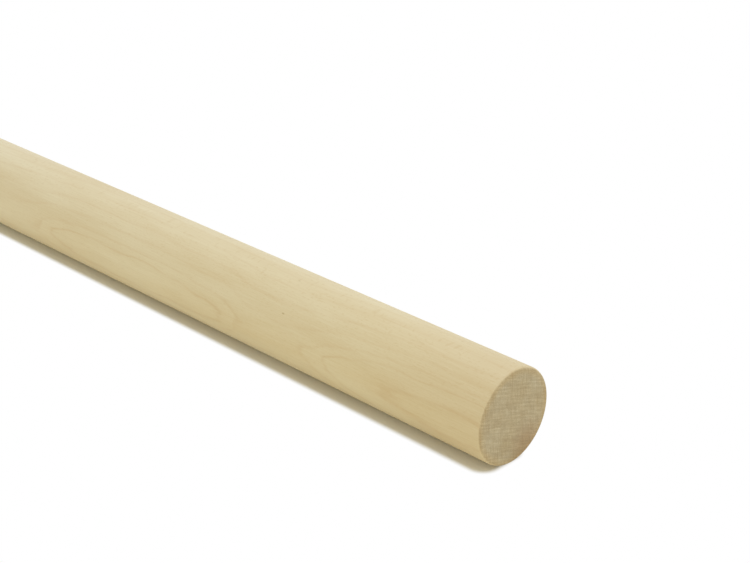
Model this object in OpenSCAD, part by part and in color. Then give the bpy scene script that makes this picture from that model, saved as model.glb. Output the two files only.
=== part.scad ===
// Straight round hardwood dowel rod, turned or moulded to one diameter,
// cut square at both ends, with the rims eased by sanding.
// The rod lies along X and its origin is the middle of its axis.

/* [Rod] */
// Diameter of the sanded shaft
rod_d = 25.4; // [6:0.1:50]
// Length from one sawn end face to the other
rod_length = 609.6; // [150:0.1:1220]

/* [Ends] */
// Radius of the eased rim where each end face meets the shaft
rim_r = 0.8; // [0.2:0.1:2.5]

/* [Hidden] */
// Sides of a full circle, for the preview only
$fn = 96;
// Radius of the shaft
rod_r = rod_d / 2;
// Length of the straight wall between the two eased rims
wall_length = rod_length - 2 * rim_r;
// Radius of the flat that is left on each end face
flat_r = rod_r - rim_r;

// Half of the rod's lengthwise section, with the axis along Y.
module rod_half_section() {
    // The core reaches both sawn faces.
    translate([0, -rod_length / 2])
        square([flat_r, rod_length]);
    // The shaft wall stops where the rims begin.
    translate([0, -wall_length / 2])
        square([rod_r, wall_length]);
    // One quarter of each circle shows, as the eased rim.
    for (end = [-1, 1])
        translate([flat_r, end * wall_length / 2])
            circle(r = rim_r);
}

// The whole rod, one piece of wood.
module dowel_rod() {
    color("BurlyWood")
        rotate([0, 90, 0])
            rotate_extrude()
                rod_half_section();
}

dowel_rod();
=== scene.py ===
"""A straight round dowel rod of pale maple, lying on a white studio sheet."""
import math

import bpy
import numpy as np
from mathutils import Matrix, Vector


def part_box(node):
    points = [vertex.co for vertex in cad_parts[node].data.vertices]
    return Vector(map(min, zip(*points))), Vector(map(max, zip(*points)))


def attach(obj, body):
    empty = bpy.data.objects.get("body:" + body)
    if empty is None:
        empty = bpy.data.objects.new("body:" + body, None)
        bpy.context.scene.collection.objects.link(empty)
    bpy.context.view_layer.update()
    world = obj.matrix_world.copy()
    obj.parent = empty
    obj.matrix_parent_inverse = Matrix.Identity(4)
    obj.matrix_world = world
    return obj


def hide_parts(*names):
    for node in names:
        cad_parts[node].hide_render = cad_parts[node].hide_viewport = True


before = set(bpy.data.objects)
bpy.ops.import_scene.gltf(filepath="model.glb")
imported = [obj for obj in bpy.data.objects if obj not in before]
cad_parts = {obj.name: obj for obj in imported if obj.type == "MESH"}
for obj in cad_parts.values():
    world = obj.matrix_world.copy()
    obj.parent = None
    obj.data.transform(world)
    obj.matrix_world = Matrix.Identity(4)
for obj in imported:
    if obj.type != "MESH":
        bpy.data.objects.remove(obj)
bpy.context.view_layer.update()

# ---------------------------------------------------------------------------
# The rod's shape.  One stick of hard maple, run through a moulder that leaves it
# round and cut off square with a circular saw.  Sanding has just taken the
# sharpness off the two rims, a little unevenly, and left the saw's marks.
# ---------------------------------------------------------------------------
MM = 0.001
high_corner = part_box("dowel_rod")[1]
rod_end = high_corner[0]
rod_radius = high_corner[2]
rim_radius = 0.8 * MM          # how far sanding has rounded each rim
rim_uneven = 0.15 * MM         # how much that differs round the rim
saw_relief = 0.03 * MM         # depth of the saw's marks
saw_pitch = 0.95 * MM          # from one saw mark to the next
saw_blade_radius = 125 * MM
saw_lean = math.radians(-20)   # how the marks slope across the right-hand end
saw_drift = 2.4                # how far the marks wander sideways, in radians of their pitch
saw_strength = (0.6, 0.4)      # how high they stand, as a mean and a swing about it
columns = 320                  # points round the rod
strips = 6                     # equal lengths that the bake map cuts the side into
rings_in_strip = 20
rings_on_rim = 6
rings_on_disc = 46


def waves(phase, seed):
    """A smooth random curve from about -1 to 1: seven sines of phase, at 1 to 7
    turns, each with its own random shift, and weaker by the root of its turns."""
    turns = np.arange(1, 8)
    lift = 1.6   # the sines seldom peak together, so their mean is raised
    shifts = np.random.default_rng(seed).uniform(0, 2 * np.pi, turns.size)
    sines = np.sin(np.asarray(phase)[..., None] * turns + shifts)
    return lift * (sines / np.sqrt(turns)).sum(-1) / (1 / np.sqrt(turns)).sum()


def saw_marks(y, z):
    """Height of a sawn face, -1 to 1: the sine of the distance past the blade's
    rim over the pitch, plus a slow drift, times a slow strength, so that the
    ridges follow the blade and differ in spacing and in height. The drift and the
    strength turn 2.2 and 3.1 radians in a rod's radius."""
    hub_y = saw_blade_radius * math.sin(saw_lean)
    hub_z = -saw_blade_radius * math.cos(saw_lean)
    across = np.hypot(y - hub_y, z - hub_z) - saw_blade_radius
    drift = saw_drift * waves(2.2 * across / rod_radius, seed=4)
    strength = saw_strength[0] + saw_strength[1] * waves(3.1 * across / rod_radius, seed=9)
    return strength * np.sin(2 * np.pi * across / saw_pitch + drift)


def sawn_end(side, angle):
    """Rings from the middle of one end out to the wall: a disc that the saw has
    marked, then a rim that turns a quarter circle on to the wall. On the rim the
    radius grows by rim x sin(turn) and the face drops by rim x (1 - cos(turn))."""
    rim = rim_radius + rim_uneven * waves(angle, seed=21 + side)
    share = np.arange(1, rings_on_disc + 1)[:, None] / rings_on_disc
    turn = np.pi / 2 * np.arange(1, rings_on_rim + 1)[:, None] / rings_on_rim
    radius = np.vstack([share * (rod_radius - rim), rod_radius - rim + rim * np.sin(turn)])
    drop = np.vstack([0 * share * rim, rim * (1 - np.cos(turn))])
    y = -radius * np.sin(angle)
    z = radius * np.cos(angle)
    fade = np.clip((rod_radius - rim - radius) / rim_radius, 0, 1)
    sunk = saw_relief * (1 - saw_marks(y, z)) / 2 * fade
    return np.stack([side * (rod_end - drop - sunk), y, z], -1)


def straight_wall(angle):
    """Rings along the wall, at the rod's radius in the direction of the angle:
    evenly spaced, with two more close to each rim."""
    evenly = np.linspace(-rod_end, rod_end, strips * rings_in_strip + 1)[1:-1]
    near_rim = rod_end - rim_radius * np.array([2.0, 4.0])
    x = np.sort(np.concatenate([evenly, near_rim, -near_rim]))[:, None]
    return np.stack([x + 0 * angle, -rod_radius * np.sin(angle) + 0 * x,
                     rod_radius * np.cos(angle) + 0 * x], -1)


step = np.arange(columns)
angle = 2 * np.pi * step / columns
rings = np.concatenate([sawn_end(-1, angle), straight_wall(angle), sawn_end(1, angle)[::-1]])
middle_sunk = saw_relief * (1 - saw_marks(0, 0)) / 2
middles = np.array([[middle_sunk - rod_end, 0, 0], [rod_end - middle_sunk, 0, 0]])
points = np.concatenate([rings.reshape(-1, 3), middles])

# Quads between neighbouring rings, and a fan of triangles round each middle.
beside = np.roll(step, -1)
start = columns * np.arange(len(rings) - 1)[:, None]
quads = np.stack([start + step, start + beside,
                  start + columns + beside, start + columns + step], -1)
last = columns * (len(rings) - 1)
left_fan = np.stack([0 * step + len(points) - 2, beside, step], -1)
right_fan = np.stack([0 * step + len(points) - 1, last + step, last + beside], -1)
faces = quads.reshape(-1, 4).tolist() + left_fan.tolist() + right_fan.tolist()
rod_mesh = bpy.data.meshes.new("maple_rod")
rod_mesh.from_pydata(points, [], faces)
rod_mesh.shade_smooth()
saw_height = rod_mesh.attributes.new("saw_height", "FLOAT", "POINT")
saw_height.data.foreach_set("value", saw_marks(points[:, 1], points[:, 2]))

# The bake map. The side is unrolled in equal strips, stacked two to a row, and
# the two ends lie in the column that is left at their right, a little enlarged.
strips_in_row = 2
rows = strips // strips_in_row
girth = 2 * np.pi * rod_radius
strip_length = 2 * rod_end / strips
map_gap = 1.0 * MM
map_size = rows * (girth + map_gap)
end_rings = rings_on_disc + rings_on_rim
disc_size = map_size - strips_in_row * (strip_length + map_gap) - map_gap
ring_x = rings[:, :, 0].mean(1)
disc_reach = np.linspace(0, 1, rings_on_disc + 1)[1:] * (rod_radius - rim_radius)
rim_reach = (rod_radius - rim_radius
             + rim_radius * np.pi / 2 * np.arange(1, rings_on_rim + 1) / rings_on_rim)
end_reach = np.append(disc_reach, rim_reach)
ring_reach = np.zeros(len(rings))
ring_reach[:end_rings] = end_reach
ring_reach[-end_rings:] = end_reach[::-1]


def place_on_strip(ring, strip, turned):
    """Where a point of the side lies on the map: its strip's corner, plus its
    distance along the strip and its distance round the rod."""
    corner_u = (strip % strips_in_row) * (strip_length + map_gap) + map_gap / 2
    corner_v = (strip // strips_in_row) * (girth + map_gap) + map_gap / 2
    return np.stack([corner_u + ring_x[ring] + rod_end - strip * strip_length,
                     corner_v + turned * rod_radius], -1) / map_size


def place_on_disc(reach, row, turned):
    """Where a point of an end lies on the map: out from the disc's middle by its
    reach along the end and over the rim, in the direction of its angle."""
    scale = (disc_size - map_gap) / 2 / end_reach[-1]
    centre_u = map_size - disc_size / 2
    centre_v = (row + 0.5) * (girth + map_gap)
    return np.stack([centre_u + reach * scale * np.sin(turned),
                     centre_v + reach * scale * np.cos(turned)], -1) / map_size


quad_ring = np.arange(len(rings) - 1)[:, None, None] + np.array([0, 0, 1, 1])
quad_turn = 2 * np.pi / columns * (step[None, :, None] + np.array([0, 1, 1, 0]))
quad_ring, quad_turn = np.broadcast_arrays(quad_ring, quad_turn)
quad_middle = ring_x[quad_ring].mean(-1) + rod_end
quad_strip = np.clip(quad_middle // strip_length, 0, strips - 1)[..., None]
quad_map = place_on_strip(quad_ring, quad_strip + 0 * quad_turn, quad_turn)
is_left = quad_ring.max(-1) < end_rings
is_right = quad_ring.min(-1) >= len(rings) - end_rings
quad_map[is_left] = place_on_disc(ring_reach[quad_ring[is_left]], 0, quad_turn[is_left])
quad_map[is_right] = place_on_disc(ring_reach[quad_ring[is_right]], rows - 1, quad_turn[is_right])
fan_turn = 2 * np.pi / columns * (step[:, None] + np.array([0, 1, 0]))
fan_reach = end_reach[0] * np.array([0, 1, 1])
left_map = place_on_disc(fan_reach + 0 * fan_turn, 0, fan_turn)
right_map = place_on_disc(fan_reach + 0 * fan_turn, rows - 1, fan_turn[:, [0, 2, 1]])
corner_map = np.concatenate([quad_map.ravel(), left_map.ravel(), right_map.ravel()])
bake_map = rod_mesh.uv_layers.new(name="OFBake")
bake_map.uv.foreach_set("vector", corner_map)

rod = bpy.data.objects.new("maple_rod", rod_mesh)
bpy.context.scene.collection.objects.link(rod)
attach(rod, "root")
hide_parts("dowel_rod")

# ---------------------------------------------------------------------------
# The rod's wood.  Hard maple, left bare and sanded: pale cream, close-grained
# and dull.  Its patterns are solid, so that the figure on the side and the grain
# on the ends are cut from the same rings, rays and fibres.  In millimetres.
# ---------------------------------------------------------------------------
rod_length = 2 * rod_end / MM
rod_thickness = 2 * rod_radius / MM
pith_distance = 75             # from the tree's middle to the rod's axis
bark_turn = math.radians(94)   # direction of the bark, round from +Z to -Y
# Where each year's growth ends, from the rod's axis towards the bark.
year_ends = [-14.6, -11.8, -9.1, -6.4, -3.9, -1.0, 2.2, 6.0, 9.9, 12.5, 14.2, 15.1, 16.9, 19.0]
# How far the rings bow towards the bark, at distances from the right-hand end.
ring_bow = [(0, 4.6), (15, 4.5), (29.5, 4.1), (40.5, 3.4), (52, 2.4), (60, 1.5), (74, 0.8),
            (87.5, 1.5), (93.5, 2.3), (105, 2.7), (131.5, 3.0), (161, 2.8), (173.5, 2.3),
            (181.5, 1.5), (198, 0.6), (235, -0.4), (290, 0.8), (345, 2.8), (400, 1.4),
            (450, -0.4), (520, 1.6), (575, 3.8), (609.6, 4.4)]
bow_span = 10                  # from the least bow to the most that their curve can hold
ripple_size = (15, 4, 4)       # small waves in the rings, and how deep they go
ripple_detail = 3.0
ripple_depth = 0.55
# How brown the wood is through a year's growth, from its start to its end.
late_wood = [(0, 0.45), (0.07, 0.05), (0.5, 0.05), (0.78, 0.3), (0.91, 1), (0.96, 1), (1, 0.45)]
# The brown lines of the last years, towards the bark, are stronger than the rest.
strong_years = (len(year_ends) - 6, len(year_ends) - 4)
weak_line = 0.5
faded_line = 0.35              # what is left of a line where it fades along its way

# Each pattern of grains: their size along the rod, along the rings and across
# them, the detail inside them, and the noise where a grain starts and is full.
# Real fibres and pores are finer, and are drawn as coarse as they need to show.
fibre_grain = ((9, 0.35, 0.35), 4.0, 0.3, 0.7)
ray_grain = ((1.1, 0.16, 4.5), 1.0, 0.56, 0.72)
cloud_grain = ((55, 8, 8), 2.0, 0.3, 0.7)
cloud_shift = (-205, -27, 15)  # the part of the clouds that this rod is cut from
fade_grain = ((14, 4, 4), 2.0, 0.35, 0.62)
layer_grain = ((60, 3.5, 0.42), 3.0, 0.35, 0.65)
layers_on_side = 0.07          # thin layers show on the ends, and barely on the side
pore_grain = ((20, 0.2, 0.2), 2.0, 0.5, 0.68)
# The saw's strokes, measured along the blade's path and across it.
stroke_grain = ((40, 5.0, 0.36), 4.0, 0.35, 0.65)
saw_valley_share = 0.5         # what the saw's ridges add to its strokes

# Where a tone starts and is full. The first is measured from the corner that the
# rim would have if it were sharp, and the next two from the nearer end.
rim_band = (2.6, 0.4)
end_band = (45, 3)
yellower_band = (215, 25)
end_begins = 0.45 * rim_radius / MM   # how far short of the end its own looks begin
rim_greyness = 0.6             # how much of the ends' grey the rims keep
# A brown patch low on the right-hand end, partly a stain and partly painted shade: its middle, and
# where it starts and is full.
stain_and_shade_place = (rod_length / 2, 5.0, -8.8)
stain_and_shade_band = (8.0, 1.0)
# Each dark fleck: its place from the right-hand end and from the top, and how dark it is.
flecks = [(70.1, 12.5, 1.0), (18.8, -2.3, 0.4), (56.7, -1.3, 0.4), (73.0, 1.9, 0.5)]
fleck_size = (0.45, 0.2, 0.2)
fleck_band = (1.3, 0.6)        # in fleck sizes, from its middle

side_roughness = 0.5
end_roughness = 0.8
grain_relief = 0.008           # depth of the raised fibres
fibre_share = 0.6              # how high the fibres stand beside the brown lines


def hex_colour(code):
    """An sRGB hex code as linear red, green and blue, with an alpha of 1."""
    srgb = np.array([int(code[place:place + 2], 16) for place in (1, 3, 5)]) / 255
    linear = np.where(srgb <= 0.04045, srgb / 12.92, ((srgb + 0.055) / 1.055) ** 2.4)
    return (*linear.tolist(), 1.0)


def add(tree, kind, settings, inputs):
    """Adds one node, sets its settings and fills its inputs: a node or a socket
    is linked (a node by its first output), and anything else is a plain value."""
    node = tree.nodes.new("ShaderNode" + kind)
    for name, value in settings.items():
        setattr(node, name, value)
    for name, value in inputs.items():
        if isinstance(value, bpy.types.Node):
            value = value.outputs[0]
        if isinstance(value, bpy.types.NodeSocket):
            tree.links.new(value, node.inputs[name])
        else:
            node.inputs[name].default_value = value
    return node


def grain_noise(tree, place, size, detail):
    """Noise whose grains are that many millimetres along X, Y and Z."""
    scaled = add(tree, "VectorMath", {"operation": "DIVIDE"}, {0: place, 1: size})
    return add(tree, "TexNoise", {}, {"Vector": scaled, "Scale": 1.0, "Detail": detail})


def grains(tree, place, pattern, least=0.0):
    """A pattern of grains as a share, which climbs from least to 1 as the noise
    climbs from where a grain starts to where it is full."""
    size, detail, starts, full = pattern
    return add(tree, "MapRange", {}, {"Value": grain_noise(tree, place, size, detail),
                                      "From Min": starts, "From Max": full, "To Min": least})


def curve_through(tree, value, places, handle):
    """A curve from 0 to 1 through the given (place, height) points, with smooth
    (AUTO) or straight (VECTOR) stretches between them."""
    node = add(tree, "FloatCurve", {}, {"Value": value})
    curve = node.mapping.curves[0]
    while len(curve.points) < len(places):
        curve.points.new(0.5, 0.5)
    for point, place in zip(curve.points, places):
        point.location = place
        point.handle_type = handle
    node.mapping.update()
    return node


def growth_rings(tree, place):
    """How far through its year's growth each point is, 0 to 1, and the number of
    the year: the distance from the tree's middle, plus the bow and the ripple of
    the rings there, read off the list of where the years end."""
    across = add(tree, "VectorMath", {"operation": "MULTIPLY"}, {0: place, 1: (0, 1, 1)})
    distance = add(tree, "VectorMath", {"operation": "LENGTH"}, {0: across}).outputs["Value"]
    along = add(tree, "SeparateXYZ", {}, {"Vector": place})
    from_end = add(tree, "MapRange", {}, {"Value": along, "From Min": rod_length / 2,
                                          "From Max": -rod_length / 2})
    bow_points = [(x / rod_length, 0.5 + bow / bow_span) for x, bow in ring_bow]
    bow = add(tree, "MapRange", {}, {"Value": curve_through(tree, from_end, bow_points, "AUTO"),
                                     "To Min": -bow_span / 2, "To Max": bow_span / 2})
    ripple = add(tree, "MapRange", {"clamp": False},
                 {"Value": grain_noise(tree, place, ripple_size, ripple_detail),
                  "To Min": -ripple_depth - pith_distance, "To Max": ripple_depth - pith_distance})
    bowed = add(tree, "Math", {"operation": "ADD"}, {0: distance, 1: bow})
    depth = add(tree, "Math", {"operation": "ADD"}, {0: bowed, 1: ripple})
    inner, outer = year_ends[0], year_ends[-1]
    years = len(year_ends) - 1
    year_points = [((end - inner) / (outer - inner), year / years)
                   for year, end in enumerate(year_ends)]
    share = add(tree, "MapRange", {}, {"Value": depth, "From Min": inner, "From Max": outer})
    year = add(tree, "Math", {"operation": "MULTIPLY"},
               {0: curve_through(tree, share, year_points, "VECTOR"), 1: years})
    return (add(tree, "Math", {"operation": "FRACT"}, {0: year}),
            add(tree, "Math", {"operation": "FLOOR"}, {0: year}))


def brown_lines(tree, place):
    """The line that ends each year's growth: how brown the wood is at that time
    of the year, times the year's strength, times a share that comes and goes."""
    through_year, year = growth_rings(tree, place)
    brown = add(tree, "ValToRGB", {}, {"Fac": through_year})
    while len(brown.color_ramp.elements) < len(late_wood):
        brown.color_ramp.elements.new(0.5)
    for element, (position, level) in zip(brown.color_ramp.elements, late_wood):
        element.position = position
        element.color = (level, level, level, 1)
    strength = add(tree, "MapRange", {}, {"Value": year, "From Min": strong_years[0],
                                          "From Max": strong_years[1], "To Min": weak_line})
    comes_and_goes = grains(tree, place, fade_grain, faded_line)
    faded = add(tree, "Math", {"operation": "MULTIPLY"}, {0: strength, 1: comes_and_goes})
    return add(tree, "Math", {"operation": "MULTIPLY"}, {0: brown, 1: faded})


def saw_strokes(tree, saw_place):
    """The saw's marks on an end: strokes a few millimetres long that lie along the
    blade's path, plus a share of how deep the saw's ridges leave the wood."""
    height = add(tree, "Attribute", {"attribute_name": "saw_height"}, {}).outputs["Fac"]
    valley = add(tree, "MapRange", {}, {"Value": height, "From Min": 1.0, "From Max": -1.0})
    stroke = grains(tree, saw_place, stroke_grain)
    return add(tree, "Math", {"operation": "MULTIPLY_ADD"},
               {0: valley, 1: saw_valley_share, 2: stroke})


def dark_flecks(tree, bare_place):
    """The darkest of the flecks at each point. Each is an ellipsoid of the fleck's
    size, dark in the middle and fading out, centred on the rod's surface."""
    darkest = 0.0
    radius = rod_thickness / 2
    for from_end, from_top, darkness in flecks:
        turned = from_top / radius
        centre = (rod_length / 2 - from_end, -radius * math.sin(turned), radius * math.cos(turned))
        offset = add(tree, "VectorMath", {"operation": "SUBTRACT"}, {0: bare_place, 1: centre})
        scaled = add(tree, "VectorMath", {"operation": "DIVIDE"}, {0: offset, 1: fleck_size})
        away = add(tree, "VectorMath", {"operation": "LENGTH"}, {0: scaled}).outputs["Value"]
        fleck = add(tree, "MapRange", {}, {"Value": away, "From Min": fleck_band[0],
                                           "From Max": fleck_band[1], "To Max": darkness})
        darkest = add(tree, "Math", {"operation": "MAXIMUM"}, {0: fleck, 1: darkest})
    return darkest


def tint(tree, colour, amount, code):
    """Multiplies a colour by the tint given as a hex code, as far as amount says."""
    return add(tree, "Mix", {"data_type": "RGBA", "blend_type": "MULTIPLY"},
               {0: amount, 6: colour, 7: hex_colour(code)}).outputs[2]


def bare_maple():
    """Bare sanded maple. Thin brown lines end each year's growth, fine rays fleck
    the side, and the sawn ends are darker, because they show the fibres end on."""
    material = bpy.data.materials.new("bare_maple")
    material.use_nodes = True
    tree = material.node_tree
    tree.nodes.clear()
    object_place = add(tree, "TexCoord", {}, {}).outputs["Object"]
    bare_place = add(tree, "VectorMath", {"operation": "SCALE"}, {0: object_place, "Scale": 1 / MM})
    place = add(tree, "Mapping", {}, {"Vector": object_place, "Scale": (1 / MM,) * 3,
                                      "Rotation": (-bark_turn, 0, 0),
                                      "Location": (0, 0, pith_distance)})
    saw_place = add(tree, "Mapping", {}, {"Vector": object_place, "Scale": (1 / MM,) * 3,
                                          "Rotation": (-saw_lean, 0, 0)})

    # Which part of the rod a point is on: an end, a rim, or the side and how near an end.
    xyz = add(tree, "SeparateXYZ", {}, {"Vector": place})
    reach = add(tree, "Math", {"operation": "ABSOLUTE"}, {0: xyz})
    on_end = add(tree, "MapRange", {"interpolation_type": "SMOOTHSTEP"},
                 {"Value": reach, "From Min": rod_length / 2 - end_begins,
                  "From Max": rod_length / 2 - saw_relief / MM})
    across = add(tree, "VectorMath", {"operation": "MULTIPLY"}, {0: saw_place, 1: (0, 1, 1)})
    from_axis = add(tree, "VectorMath", {"operation": "LENGTH"}, {0: across}).outputs["Value"]
    profile = add(tree, "CombineXYZ", {}, {"X": reach, "Y": from_axis})
    rim_gap = add(tree, "VectorMath", {"operation": "DISTANCE"},
                  {0: profile, 1: (rod_length / 2, rod_thickness / 2, 0)}).outputs["Value"]
    near_rim = add(tree, "MapRange", {"interpolation_type": "SMOOTHSTEP"},
                   {"Value": rim_gap, "From Min": rim_band[0], "From Max": rim_band[1]})
    near_end = add(tree, "MapRange", {"interpolation_type": "SMOOTHSTEP"},
                   {"Value": reach, "From Min": rod_length / 2 - end_band[0],
                    "From Max": rod_length / 2 - end_band[1]})
    yellower_share = add(tree, "MapRange", {}, {"Value": reach,
                                          "From Min": rod_length / 2 - yellower_band[0],
                                          "From Max": rod_length / 2 - yellower_band[1]})

    # The wood's own patterns.
    line = brown_lines(tree, place)
    fibres = grains(tree, place, fibre_grain)
    rays = grains(tree, place, ray_grain)
    cloud_place = add(tree, "VectorMath", {"operation": "ADD"}, {0: place, 1: cloud_shift})
    clouds = grains(tree, cloud_place, cloud_grain)
    layers = grains(tree, place, layer_grain)
    pores = grains(tree, place, pore_grain)
    # A patch low on the right-hand end, partly a stain and partly painted shade.
    from_stain_and_shade = add(tree, "VectorMath", {"operation": "DISTANCE"},
                     {0: bare_place, 1: stain_and_shade_place}).outputs["Value"]
    stain_and_shade = add(tree, "MapRange", {"interpolation_type": "SMOOTHSTEP"},
                {"Value": from_stain_and_shade, "From Min": stain_and_shade_band[0], "From Max": stain_and_shade_band[1]})

    # How strongly each shows there. Pores and strokes show on the ends alone, the sanding has
    # rubbed the rims warm, and the side is yellower towards its ends.
    layer_strength = add(tree, "MapRange", {}, {"Value": on_end, "To Min": layers_on_side})
    layer_tone = add(tree, "Math", {"operation": "MULTIPLY"}, {0: layers, 1: layer_strength})
    pore_tone = add(tree, "Math", {"operation": "MULTIPLY"}, {0: pores, 1: on_end})
    saw_tone = add(tree, "Math", {"operation": "MULTIPLY"},
                   {0: saw_strokes(tree, saw_place), 1: on_end})
    rim_tone = add(tree, "Math", {"operation": "MULTIPLY"}, {0: near_rim, 1: on_end})
    end_strength = add(tree, "MapRange", {}, {"Value": near_rim, "To Min": 1.0,
                                              "To Max": rim_greyness})
    end_tone = add(tree, "Math", {"operation": "MULTIPLY"}, {0: on_end, 1: end_strength})
    side_yellower_share = add(tree, "Math", {"operation": "SUBTRACT"}, {0: yellower_share, 1: on_end})

    # Cream sapwood, tinted by each of them in turn.
    colour = hex_colour("#DDD0AA")
    tints = [(clouds, "#F6F0E5"),                         # broad clouds, a little browner
             (side_yellower_share, "#FFFDF6"),                  # yellower towards the ends
             (near_end, "#FAF7F4"),                       # the last of the side is darker
             (layer_tone, "#F0ECE7"),                     # thin layers between the lines
             (line, "#F8F2EB"),                           # the line that ends each year
             (fibres, "#FAF8F3"),
             (rays, "#FAF7F2"),
             (dark_flecks(tree, bare_place), "#E2D9CC"),
             (end_tone, "#F3F7FF"),                       # end grain is greyer
             # partly a stain and partly painted shade, low on the right-hand end
             (stain_and_shade, "#EEE1D6"),
             (pore_tone, "#E8E4DF"),
             (rim_tone, "#FFFAF0"),                       # rims rubbed warm
             (saw_tone, "#EBE8E4")]
    for amount, code in tints:
        colour = tint(tree, colour, amount, code)
    height = add(tree, "Math", {"operation": "MULTIPLY_ADD"}, {0: fibres, 1: fibre_share, 2: line})
    bump = add(tree, "Bump", {}, {"Height": height, "Distance": grain_relief * MM})
    roughness = add(tree, "MapRange", {}, {"Value": on_end, "To Min": side_roughness,
                                           "To Max": end_roughness})
    wood = add(tree, "BsdfPrincipled", {}, {"Base Color": colour, "Roughness": roughness,
                                            "Normal": bump, "IOR": 1.5})
    add(tree, "OutputMaterial", {}, {"Surface": wood})
    return material


rod_mesh.materials.append(bare_maple())

# ---------------------------------------------------------------------------
# The sheet it lies on.  White seamless paper, a little warm, as it lies in light
# that the wood throws back.  The camera sees it as plain white, except close under
# the rod, where it takes the rod's soft shadow.
# ---------------------------------------------------------------------------
sheet_half = 4.0
paper_white = "#F6F2E3"        # its colour as it throws light on the rod
seen_shaded = "#ECE8D4"        # and as the camera sees it in the shadow
# The rectangle that stays in shadow: its middle, away from the soft box, and half its
# sides, and how far outside it the paper starts to clear and is plain white.
shadow_middle = (0, -1.5 * MM, 0)
shadow_half = Vector((rod_end - 5.2 * MM, 3.5 * MM, rod_radius))
shadow_edge = (3.5 * MM, 5.7 * MM)

sheet_mesh = bpy.data.meshes.new("paper_sheet")
sheet_corners = [(-sheet_half, -sheet_half), (sheet_half, -sheet_half),
                 (sheet_half, sheet_half), (-sheet_half, sheet_half)]
sheet_mesh.from_pydata([(x, y, -rod_radius) for x, y in sheet_corners], [], [(0, 1, 2, 3)])
sheet = bpy.data.objects.new("paper_sheet", sheet_mesh)
bpy.context.scene.collection.objects.link(sheet)


def white_paper():
    """Matt white paper. The camera sees it as plain white wherever its distance
    from the shadow's rectangle is past the shadow's edge."""
    material = bpy.data.materials.new("white_paper")
    material.use_nodes = True
    tree = material.node_tree
    tree.nodes.clear()
    coord = add(tree, "TexCoord", {}, {})
    from_middle = add(tree, "VectorMath", {"operation": "SUBTRACT"},
                      {0: coord.outputs["Object"], 1: shadow_middle})
    place = add(tree, "VectorMath", {"operation": "ABSOLUTE"}, {0: from_middle})
    past = add(tree, "VectorMath", {"operation": "SUBTRACT"}, {0: place, 1: shadow_half})
    outside = add(tree, "VectorMath", {"operation": "MAXIMUM"}, {0: past, 1: (0, 0, 0)})
    distance = add(tree, "VectorMath", {"operation": "LENGTH"}, {0: outside}).outputs["Value"]
    clear = add(tree, "MapRange", {"interpolation_type": "SMOOTHSTEP"},
                {"Value": distance, "From Min": shadow_edge[0], "From Max": shadow_edge[1]})
    seen = add(tree, "LightPath", {}, {}).outputs["Is Camera Ray"]
    shade = add(tree, "Mix", {"data_type": "RGBA"},
                {0: seen, 6: hex_colour(paper_white), 7: hex_colour(seen_shaded)})
    matt = add(tree, "BsdfDiffuse", {}, {"Color": shade.outputs[2]})
    plain_white = add(tree, "Emission", {}, {"Color": hex_colour("#FFFFFF"), "Strength": 1.0})
    seen_clear = add(tree, "Math", {"operation": "MULTIPLY"}, {0: clear, 1: seen})
    surface = add(tree, "MixShader", {}, {0: seen_clear, 1: matt, 2: plain_white})
    add(tree, "OutputMaterial", {}, {"Surface": surface})
    return material


sheet_mesh.materials.append(white_paper())

# ---------------------------------------------------------------------------
# The studio.  A white room all round, and a big cool soft box above and behind,
# so that the top of the rod is brightest and its shadow stays close under it.
# ---------------------------------------------------------------------------
room_light = 0.885             # strength of the room's light on the rod
room_seen = 1.0                # and as the camera sees it, plain white
box_watts = 10.8
box_size = 1.5
box_place = Vector((0.1, 0.68, 1.55))

world = bpy.data.worlds.new("white_room")
bpy.context.scene.world = world
world.use_nodes = True
world.node_tree.nodes.clear()
room_path = add(world.node_tree, "LightPath", {}, {})
room_glow = add(world.node_tree, "MapRange", {}, {"Value": room_path.outputs["Is Camera Ray"],
                                                  "To Min": room_light, "To Max": room_seen})
room = add(world.node_tree, "Background", {}, {"Color": hex_colour("#FFFFFF"),
                                               "Strength": room_glow})
add(world.node_tree, "OutputWorld", {}, {"Surface": room})

box_light = bpy.data.lights.new("soft_box", "AREA")
box_light.energy = box_watts
box_light.size = box_size
box_light.color = hex_colour("#D2DFFF")[:3]
soft_box = bpy.data.objects.new("soft_box", box_light)
soft_box.location = box_place
soft_box.rotation_euler = (-box_place).to_track_quat("-Z", "Y").to_euler()
soft_box.visible_camera = False
bpy.context.scene.collection.objects.link(soft_box)

# ---------------------------------------------------------------------------
# The camera.  It stands close by the right-hand end, on the -Y side, and looks
# back along the rod, which runs out of its view at the left.
# ---------------------------------------------------------------------------
image_width = 750
focal_pixels = 1524.8
sensor_mm = 36
camera_from_end = Vector((199.7, -245.0, 185.0)) * MM
camera_bearing = math.radians(135.15)   # direction of view, round from +X
camera_dip = math.radians(25.35)        # how far it looks down
camera_roll = math.radians(0.54)

ahead = Vector((math.cos(camera_dip) * math.cos(camera_bearing),
                math.cos(camera_dip) * math.sin(camera_bearing),
                -math.sin(camera_dip)))
level_right = ahead.cross(Vector((0, 0, 1))).normalized()
level_up = level_right.cross(ahead)
right = level_right * math.cos(camera_roll) - level_up * math.sin(camera_roll)
up = level_right * math.sin(camera_roll) + level_up * math.cos(camera_roll)
camera_data = bpy.data.cameras.new("camera")
camera_data.sensor_width = sensor_mm
camera_data.lens = focal_pixels / image_width * sensor_mm
camera = bpy.data.objects.new("camera", camera_data)
camera.matrix_world = (Matrix.Translation(Vector((rod_end, 0, 0)) + camera_from_end)
                       @ Matrix((right, up, -ahead)).transposed().to_4x4())
bpy.context.scene.collection.objects.link(camera)
bpy.context.scene.camera = camera

bpy.context.scene.view_settings.view_transform = "Standard"
